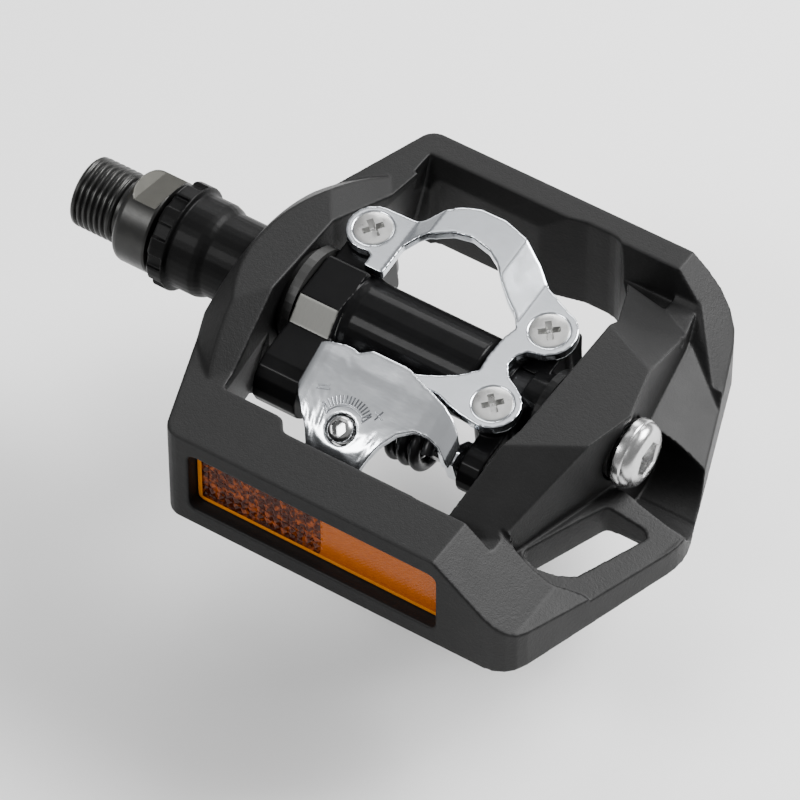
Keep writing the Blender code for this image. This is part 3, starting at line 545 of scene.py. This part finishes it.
def make_spindle():
    stations = spaced(0.0, RELIEF_START, 0.075)
    stations += spaced(RELIEF_START, HEAD_START, 0.4)
    stations += spaced(HEAD_START, HEAD_END, 0.12)
    stations += [HEAD_END, 24.0, 30.1, 30.8, 56.0, 81.6, 82.2, 82.35, 90.0, 97.9]
    obj = turned("spindle_visual", stations, spindle_radius, 192, 28)
    mesh = obj.data
    mesh.materials.append(SPINDLE_STEEL)
    mesh.materials.append(GROUND_STEEL)
    normal = Vector((0, math.cos(math.radians(FLAT_NORMAL)), math.sin(math.radians(FLAT_NORMAL))))
    for face in mesh.polygons:
        x = face.center.x / MM
        if FLAT_SPAN[0] - 2.4 < x < FLAT_SPAN[1] + 0.3 and abs(face.normal.dot(normal)) > 0.76:
            if abs(face.center.dot(normal)) / MM < FLAT_HALF + 1.75 and face.center.yz.length / MM < 9.3:
                face.material_index = 1
    return placed(obj, "spindle_visual", "spindle", None, ["spindle"])


# Fasteners

def make_cage_bolt():
    """Button head with a turned rim, a domed face and a hexagon socket."""
    profile = [(104.5, 0.2), (104.5, 2.6), (104.9, 3.0), (118.9, 3.0), (118.9, 6.2)]
    profile += [(119.0, 6.55), (119.3, 6.8), (120.6, 6.8), (120.85, 6.7), (121.0, 6.5)]
    profile += [(121.0 + 2.15 * math.sin(t), 4.35 + 2.15 * math.cos(t))
                for t in [math.radians(10 + 70 * k / 8) for k in range(9)]]
    profile += [(123.3, 4.25), (123.3, 0.2)]
    bolt = turned_profile("bolt", profile, 96)
    bolt = cut(bolt, hex_cutter(6.0, 120.1, 123.3, 0.35))
    bolt.data.transform(BINDING)
    return placed(sharpened(bolt), "cage_bolt_visual", "binding", CHROME, ["cage_bolt"])


def make_tension_bolt():
    """Small domed screw with a hexagon socket, on its leaning axis."""
    dome = [(-10.8, 0.1), (-10.8, 1.5), (-10.4, 1.75), (-1.6, 1.75), (-1.6, 2.35), (-1.4, 2.55), (-0.4, 2.55)]
    dome += [(-0.4 + 1.35 * math.sin(t), 1.1 + 1.45 * math.cos(t)) for t in
             [math.radians(10 + 75 * k / 8) for k in range(9)]]
    dome += [(0.96, 1.0), (0.96, 0.1)]
    bolt = turned_profile("tension", dome, 64)
    bolt = cut(bolt, hex_cutter(2.5, -0.6, 0.75, 0.12))
    axis = Matrix((
        (BOLT_AXIS.x, BOLT_SIDE.x, BOLT_UP.x, BOLT_POINT.x),
        (BOLT_AXIS.y, BOLT_SIDE.y, BOLT_UP.y, BOLT_POINT.y),
        (BOLT_AXIS.z, BOLT_SIDE.z, BOLT_UP.z, BOLT_POINT.z),
        (0, 0, 0, 1),
    ))
    bolt.data.transform(axis)
    return placed(sharpened(bolt), "tension_bolt_visual", "tension_bolt", CHROME, ["tension_bolt"])


def wedge_cutter(top_half, low_half, low, turn):
    """Tapered rectangular punch, pointing down from just above z = 0."""
    form = bmesh.new()
    spin = Matrix.Rotation(math.radians(turn), 3, "Z")
    levels = []
    for (half_x, half_y), z in ((low_half, low), (top_half, 0.12)):
        levels.append([form.verts.new(spin @ Vector((sx * half_x, sy * half_y, z)) * MM)
                       for sx, sy in ((1, 1), (-1, 1), (-1, -1), (1, -1))])
    bottom, top = levels
    form.faces.new(list(reversed(bottom)))
    form.faces.new(top)
    for k in range(4):
        form.faces.new((bottom[k], bottom[(k + 1) % 4], top[(k + 1) % 4], top[k]))
    bmesh.ops.recalc_face_normals(form, faces=form.faces)
    return new_object("punch", form)


def make_plate_screw(node, turn):
    """Countersunk screw, flush with the plate, with a cross recess."""
    # The screw stands square to the tilted binding, so it is measured in the binding's own axes.
    corners = [BINDING.inverted() @ v.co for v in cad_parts[node].data.vertices]
    top = max(c.z for c in corners) / MM
    bottom = min(c.z for c in corners) / MM
    x = (min(c.x for c in corners) + max(c.x for c in corners)) / 2 / MM
    y = (min(c.y for c in corners) + max(c.y for c in corners)) / 2 / MM
    profile = [(bottom, 0.1), (bottom, 1.7), (bottom + 0.4, SCREW_SHANK), (top - 1.6, SCREW_SHANK),
               (top - 0.55, 3.55), (top - 0.35, SCREW_HEAD), (top - 0.16, SCREW_HEAD), (top - 0.05, 3.70),
               (top, 3.58), (top, 0.1)]
    screw = turned_profile("screw", profile, 72)
    screw.data.transform(Matrix.Rotation(math.radians(-90), 4, "Y"))
    for shape, extra in ((CROSS_WING, 0), (CROSS_WING, 90), (CROSS_WELL, 45)):
        punch = wedge_cutter(*shape, turn + extra)
        punch.data.transform(Matrix.Translation((0, 0, top * MM)))
        screw = cut(screw, punch)
    screw.data.transform(BINDING @ Matrix.Translation((x * MM, y * MM, 0)))
    return placed(sharpened(screw), node + "_visual", "binding", SCREW_STEEL, [node])


# Springs

def make_spring(node, start, turns, coil, axis):
    """Close-wound coil of round wire on the binding, from start along X."""
    radius, wire, pitch = coil
    y, z = axis
    per_turn = 48
    count = int(turns * per_turn)
    curve = bpy.data.curves.new(node, "CURVE")
    curve.dimensions = "3D"
    curve.bevel_depth = wire / 2 * MM
    curve.bevel_resolution = 6
    curve.use_fill_caps = True
    spline = curve.splines.new("POLY")
    spline.points.add(count)
    for k in range(count + 1):
        angle = 2 * math.pi * k / per_turn
        across, up = y + radius * math.cos(angle), z + radius * math.sin(angle)
        place = Vector((start + pitch * k / per_turn, across, up))
        spline.points[k].co = (*(BINDING @ (place * MM)), 1)
    obj = bpy.data.objects.new(node, curve)
    bpy.context.scene.collection.objects.link(obj)
    made = baked(obj)
    weld = bmesh.new()
    weld.from_mesh(made.data)
    bmesh.ops.remove_doubles(weld, verts=weld.verts, dist=1e-6)
    weld.to_mesh(made.data)
    weld.free()
    return placed(sharpened(made, 50), node + "_visual", "binding", SPRING_STEEL, [node])


# Rear claw scale

def make_scale(claw):
    """Raised tension scale on the rear claw: two arrow ends, radial ticks, minus and plus."""
    tree = BVHTree.FromObject(claw, bpy.context.evaluated_depsgraph_get())
    strokes = []
    for k in range(TICKS):
        angle = math.radians(52 + 96 * k / (TICKS - 1))
        strokes.append([polar(radius, angle) for radius in TICK_RADII])
    strokes.append([polar(SCALE_ARC, math.radians(48 + 104 * k / 24)) for k in range(25)])
    for end, sign in ((158, 1), (42, -1)):
        tip = polar(4.1, math.radians(end))
        inner = polar(4.5, math.radians(end - 11 * sign))
        outer = polar(6.3, math.radians(end - 6 * sign))
        strokes.append([inner, outer, tip, inner])
    minus = ([(-8.0, 4.9), (-5.6, 5.7)], [(-8.1, 5.5), (-5.8, 6.3)])
    plus = ([(4.4, 5.6), (6.3, 4.8)], [(5.0, 4.2), (5.7, 6.2)])
    strokes += [*minus, *plus]
    scale, *others = [raised_stroke(tree, stroke) for stroke in strokes]
    for other in others:
        form = bmesh.new()
        form.from_mesh(scale.data)
        form.from_mesh(other.data)
        form.to_mesh(scale.data)
        form.free()
        bpy.data.objects.remove(other)
    return placed(sharpened(scale, 60), "tension_scale", "rear_claw", SHADED_SCALE_STEEL, ())


def polar(radius, angle):
    return radius * math.cos(angle), radius * math.sin(angle)


def raised_stroke(tree, stroke):
    """Round bead along a stroke, half sunk in the claw's surface."""
    points = []
    for (a0, b0), (a1, b1) in zip(stroke, stroke[1:]):
        steps = max(2, int(math.hypot(a1 - a0, b1 - b0) / 0.25))
        points += [(a0 + (a1 - a0) * k / steps, b0 + (b1 - b0) * k / steps) for k in range(steps)]
    points.append(stroke[-1])
    curve = bpy.data.curves.new("stroke", "CURVE")
    curve.dimensions = "3D"
    curve.bevel_depth = SCALE_BEAD * MM
    curve.bevel_resolution = 3
    curve.use_fill_caps = True
    spline = curve.splines.new("POLY")
    on_surface = []
    for a, b in points:
        above = BOLT_POINT + (BOLT_SIDE * a + BOLT_UP * b) * MM + BOLT_AXIS * 12 * MM
        hit = tree.ray_cast(above, -BOLT_AXIS)
        if hit[0] is not None:
            on_surface.append(hit[0] - hit[1] * 0.03 * MM)
    spline.points.add(len(on_surface) - 1)
    for k, place in enumerate(on_surface):
        spline.points[k].co = (*place, 1)
    obj = bpy.data.objects.new("stroke", curve)
    bpy.context.scene.collection.objects.link(obj)
    return baked(obj)


# Reflectors

def lens_height(u, v, width, height):
    """How far the lens face sits below its rim, in millimetres, at (u, v) from its lower corner."""
    rim = min(u, width - u, v, height - v)
    if rim < LENS_RIM:
        return 0.0
    if u < PRISM_FIELD:
        return 0.30 + 0.42 * pyramids(u, v + PRISM_LEAN * u, PRISM_CELL)
    return 0.34 + 0.07 * pyramids(u + v, u - v, PRESSED_CELL)


def pyramids(a, b, cell):
    """Field of square pyramids, 0 at the middle of each cell and 1 at its border."""
    return max(abs((a / cell) % 1.0 - 0.5) * 2, abs((b / cell) % 1.0 - 0.5) * 2)


def rounded_corner(u, v, width, height):
    """Moves a point beyond the lens's round corners onto the arc."""
    corner_u = min(max(u, LENS_CORNER), width - LENS_CORNER)
    corner_v = min(max(v, LENS_CORNER), height - LENS_CORNER)
    away = math.hypot(u - corner_u, v - corner_v)
    if away > LENS_CORNER:
        u = corner_u + (u - corner_u) * LENS_CORNER / away
        v = corner_v + (v - corner_v) * LENS_CORNER / away
    return u, v


def make_lens(end, side):
    """Amber lens: a raised rim round a field of prisms and a field of fine pressed texture."""
    node = end + "_reflector_lens"
    low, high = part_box(node)
    width, height = (high.x - low.x) / MM, (high.z - low.z) / MM
    face = high.y if side > 0 else low.y
    back = low.y if side > 0 else high.y
    columns, rows = 300, 80
    form = bmesh.new()
    grid = []
    for i in range(columns + 1):
        line = []
        for j in range(rows + 1):
            u, v = rounded_corner(width * i / columns, height * j / rows, width, height)
            depth = lens_height(u, v, width, height)
            line.append(form.verts.new((low.x + u * MM, face - side * depth * MM, low.z + v * MM)))
        grid.append(line)
    for i in range(columns):
        for j in range(rows):
            form.faces.new((grid[i][j], grid[i + 1][j], grid[i + 1][j + 1], grid[i][j + 1]))
    border = [grid[i][0] for i in range(columns + 1)]
    border += [grid[columns][j] for j in range(1, rows + 1)]
    border += [grid[i][rows] for i in range(columns - 1, -1, -1)]
    border += [grid[0][j] for j in range(rows - 1, 0, -1)]
    rear = [form.verts.new((v.co.x, back, v.co.z)) for v in border]
    for k in range(len(border)):
        j = (k + 1) % len(border)
        form.faces.new((border[k], border[j], rear[j], rear[k]))
    form.faces.new(rear)
    bmesh.ops.remove_doubles(form, verts=form.verts, dist=1e-6)
    bmesh.ops.recalc_face_normals(form, faces=form.faces)
    obj = new_object(node + "_visual", form, 20)
    obj.data.materials.append(LENS_AMBER)
    obj.data.materials.append(RIM_AMBER)
    for polygon in obj.data.polygons:
        u, v = (polygon.center.x - low.x) / MM, (polygon.center.z - low.z) / MM
        if min(u, width - u, v, height - v) < LENS_RIM + 0.05:
            polygon.material_index = 1
    return placed(obj, node + "_visual", "cage", None, [node])


# Binding

def make_binding():
    """Anodised body with the bare facet milled on its inboard block."""
    body = softened("binding_body", "binding_body_visual", 0.2, 6, "binding", None)
    body.data.materials.clear()
    body.data.materials.append(ALLOY)
    body.data.materials.append(FACET)
    inverse = BINDING.inverted()
    for face in body.data.polygons:
        centre = (inverse @ face.center) / MM
        normal = inverse.to_3x3() @ face.normal
        inside = all(low < value < high for value, (low, high) in zip(centre, (FACET_X, FACET_Y, FACET_Z)))
        if inside and normal.y < -0.45 and normal.z > 0.35:
            face.material_index = 1
    return body


def carried_over():
    """CAD nodes shown as they are, with finished materials."""
    looks = [
        (CHROME, ("bearing_cone", "cone_lock_nut", "inboard_ball_row", "outboard_ball_row", "claw_pin")),
        (SPRING_STEEL, ("axle_sleeve", "tension_plate")),
        (BUSH, ("spindle_bushing", "thrust_washer", "nose_bushing", "bridge_bushing")),
        (COLLAR_RESIN, ("end_seal_ring",)),
        (RESIN, ("front_reflector_housing", "rear_reflector_housing")),
    ]
    for look, nodes in looks:
        for node in nodes:
            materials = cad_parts[node].data.materials
            materials.clear()
            materials.append(look)


# Studio

def make_floor():
    """Pale floor that lies clear of the pedal at every angle of its turning about the axle."""
    low = -math.hypot(cad_box[0].y, cad_box[0].z) - FLOOR_GAP * MM
    form = bmesh.new()
    bmesh.ops.create_grid(form, x_segments=1, y_segments=1, size=FLOOR_SIZE)
    floor = new_object("floor", form)
    floor.location.z = low
    n = Nodes("pale_floor")
    n.colour(n.mix(n.noise(40, 2.0), (0.94, 0.94, 0.94), (0.96, 0.96, 0.96)))
    n.set(Roughness=0.7)
    floor.data.materials.append(n.material)


def area_light(name, direction, distance, size, power):
    """Soft panel that faces the pedal from a direction."""
    data = bpy.data.lights.new(name, "AREA")
    data.shape = "RECTANGLE"
    data.size = size[0]
    data.size_y = size[1]
    data.energy = power
    lamp = bpy.data.objects.new(name, data)
    bpy.context.scene.collection.objects.link(lamp)
    towards = Vector(direction).normalized()
    lamp.location = TARGET + towards * distance
    lamp.rotation_mode = "QUATERNION"
    lamp.rotation_quaternion = (-towards).to_track_quat("-Z", "Y")


def make_studio():
    world = bpy.data.worlds.new("studio")
    bpy.context.scene.world = world
    world.use_nodes = True
    background = world.node_tree.nodes["Background"]
    background.inputs["Color"].default_value = (1, 1, 1, 1)
    background.inputs["Strength"].default_value = WORLD_LIGHT
    for name, panel in PANELS.items():
        area_light(name, *panel)


def make_camera():
    data = bpy.data.cameras.new("camera")
    data.lens = LENS
    data.sensor_width = 36.0
    data.clip_start = 0.05
    data.clip_end = 20.0
    camera = bpy.data.objects.new("camera", data)
    bpy.context.scene.collection.objects.link(camera)
    a, e = math.radians(AZIMUTH), math.radians(ELEVATION)
    back = Vector((math.sin(a) * math.cos(e), -math.cos(a) * math.cos(e), math.sin(e)))
    camera.location = TARGET + back * DISTANCE
    camera.rotation_mode = "QUATERNION"
    camera.rotation_quaternion = (-back).to_track_quat("-Z", "Y")
    bpy.context.scene.camera = camera


make_camera()
make_studio()
make_floor()

make_spindle()
softened("lock_collar", "lock_collar_visual", 0.2, 4, "binding", COLLAR_RESIN)
softened("cage", "cage_visual", 0.24, 8, "cage", RESIN)
make_binding()
softened("front_claw_plate", "front_claw_plate_visual", 0.18, 12, "binding", PLATED)
claw = softened("rear_claw", "rear_claw_visual", 0.2, 14, "rear_claw", LIT_CLAW_PLATED)
make_scale(claw)
make_cage_bolt()
make_tension_bolt()
for node, turn in CROSS_TURNS.items():
    make_plate_screw(node, turn)
make_spring("claw_spring_inboard", 65.3, 1.35, CLAW_COIL, CLAW_PIN)
make_spring("claw_spring_outboard", 79.4, 3.4, CLAW_COIL, CLAW_PIN)
make_spring("popup_spring", 105.0, 2.5, POPUP_COIL, AXLE)
make_lens("rear", -1)
make_lens("front", 1)
carried_over()
